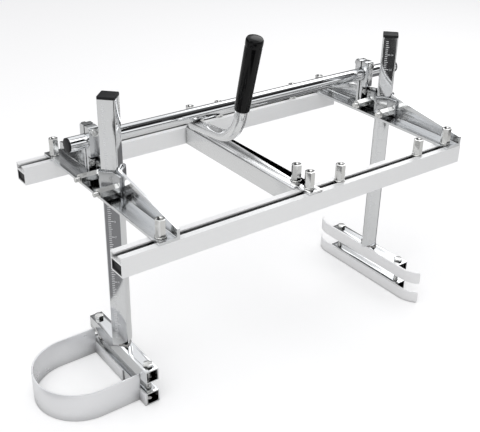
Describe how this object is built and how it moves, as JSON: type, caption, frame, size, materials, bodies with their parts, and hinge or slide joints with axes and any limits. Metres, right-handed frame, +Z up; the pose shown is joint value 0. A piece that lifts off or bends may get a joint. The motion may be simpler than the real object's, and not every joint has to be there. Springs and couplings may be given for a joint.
{
  "type": "chainsaw mill",
  "caption": "Slotted rail frame with end brackets, square depth posts and clamp jaws that carry a chainsaw guide bar, with a nose guard hoop and a bent push handle.",
  "frame": {"origin": "middle of the footprint, on the surface that the lower jaws stand on", "axes": "+X along the rails toward the saw's side, +Y from the front rail to the rear rail, +Z up"},
  "size_m": [0.7384, 0.333, 0.5386],
  "materials": {
    "rail_aluminium": "mill finish with fine lengthwise draw lines",
    "bracket_steel": "polished and zinc plated plate",
    "chromed_tube": "bright chrome plate",
    "plated_fastener": "bright zinc plate",
    "guard_sheet": "galvanised strip, satin",
    "black_cap": "moulded plastic, fine grain",
    "black_grip": "smooth dipped grip, glossy"
  },
  "bodies": {
    "frame": {"front_rail": "rail_aluminium", "rear_rail": "rail_aluminium", "front_rail_left_plug": "black_cap", "front_rail_right_plug": "black_cap", "rear_rail_left_plug": "black_cap", "rear_rail_right_plug": "black_cap", "spare_fastener_front_left": "plated_fastener", "spare_fastener_front_right": "plated_fastener", "spare_fastener_rear_left": "plated_fastener", "spare_fastener_rear_right": "plated_fastener"},
    "brace_unit": {"brace": "bracket_steel", "brace_front_rail_fastener": "plated_fastener", "brace_front_end_fastener": "plated_fastener", "brace_rear_rail_fastener": "plated_fastener", "brace_rear_end_fastener": "plated_fastener"},
    "left_bracket_unit": {"left_bracket": "bracket_steel", "left_inner_saddle": "bracket_steel", "left_outer_saddle": "bracket_steel", "left_tube_clamp_front": "bracket_steel", "left_tube_clamp_rear": "bracket_steel", "left_bracket_front_fastener": "plated_fastener", "left_bracket_rear_fastener": "plated_fastener", "left_post_clamp_front_bolt": "plated_fastener", "left_post_clamp_rear_bolt": "plated_fastener", "left_tube_clamp_upper_bolt": "plated_fastener", "left_tube_clamp_lower_bolt": "plated_fastener"},
    "right_bracket_unit": {"right_bracket": "bracket_steel", "right_inner_saddle": "bracket_steel", "right_outer_saddle": "bracket_steel", "right_tube_clamp_front": "bracket_steel", "right_tube_clamp_rear": "bracket_steel", "right_bracket_front_fastener": "plated_fastener", "right_bracket_rear_fastener": "plated_fastener", "right_post_clamp_front_bolt": "plated_fastener", "right_post_clamp_rear_bolt": "plated_fastener", "right_tube_clamp_upper_bolt": "plated_fastener", "right_tube_clamp_lower_bolt": "plated_fastener"},
    "left_post_unit": {"left_post": "chromed_tube", "left_post_cap": "black_cap", "left_upper_jaw": "chromed_tube", "left_jaw_front_bolt": "plated_fastener", "left_jaw_rear_bolt": "plated_fastener"},
    "right_post_unit": {"right_post": "chromed_tube", "right_post_cap": "black_cap", "right_upper_jaw": "chromed_tube", "right_jaw_front_bolt": "plated_fastener", "right_jaw_rear_bolt": "plated_fastener", "right_upper_rub_strip": "guard_sheet"},
    "left_lower_jaw_unit": {"left_lower_jaw": "chromed_tube", "nose_guard": "guard_sheet"},
    "right_lower_jaw_unit": {"right_lower_jaw": "chromed_tube", "right_lower_rub_strip": "guard_sheet"},
    "push_handle": {"push_tube": "chromed_tube", "push_tube_left_cap": "black_cap", "push_tube_right_cap": "black_cap", "handle_arm": "chromed_tube", "grip": "black_grip"}
  },
  "joints": [
    {"name": "left_bracket_slide", "type": "slide", "parent": "frame", "child": "left_bracket_unit", "axis": [1, 0, 0], "range_m": [-0.02, 0.13]},
    {"name": "right_bracket_slide", "type": "slide", "parent": "frame", "child": "right_bracket_unit", "axis": [1, 0, 0], "range_m": [-0.04, 0]},
    {"name": "brace_slide", "type": "slide", "parent": "frame", "child": "brace_unit", "axis": [1, 0, 0], "range_m": [-0.015, 0.025]},
    {"name": "left_post_slide", "type": "slide", "parent": "left_bracket_unit", "child": "left_post_unit", "axis": [0, 0, 1], "range_m": [-0.085, 0.2]},
    {"name": "right_post_slide", "type": "slide", "parent": "right_bracket_unit", "child": "right_post_unit", "axis": [0, 0, 1], "range_m": [-0.085, 0.2]},
    {"name": "left_jaw_close", "type": "slide", "parent": "left_post_unit", "child": "left_lower_jaw_unit", "axis": [0, 0, 1], "range_m": [0, 0.0135]},
    {"name": "right_jaw_close", "type": "slide", "parent": "right_post_unit", "child": "right_lower_jaw_unit", "axis": [0, 0, 1], "range_m": [0, 0.0135]},
    {"name": "handle_tilt", "type": "hinge", "parent": "frame", "child": "push_handle", "pos_m": [0, 0.05148, 0.3845], "axis": [1, 0, 0], "range_deg": [-40, 45]}
  ]
}
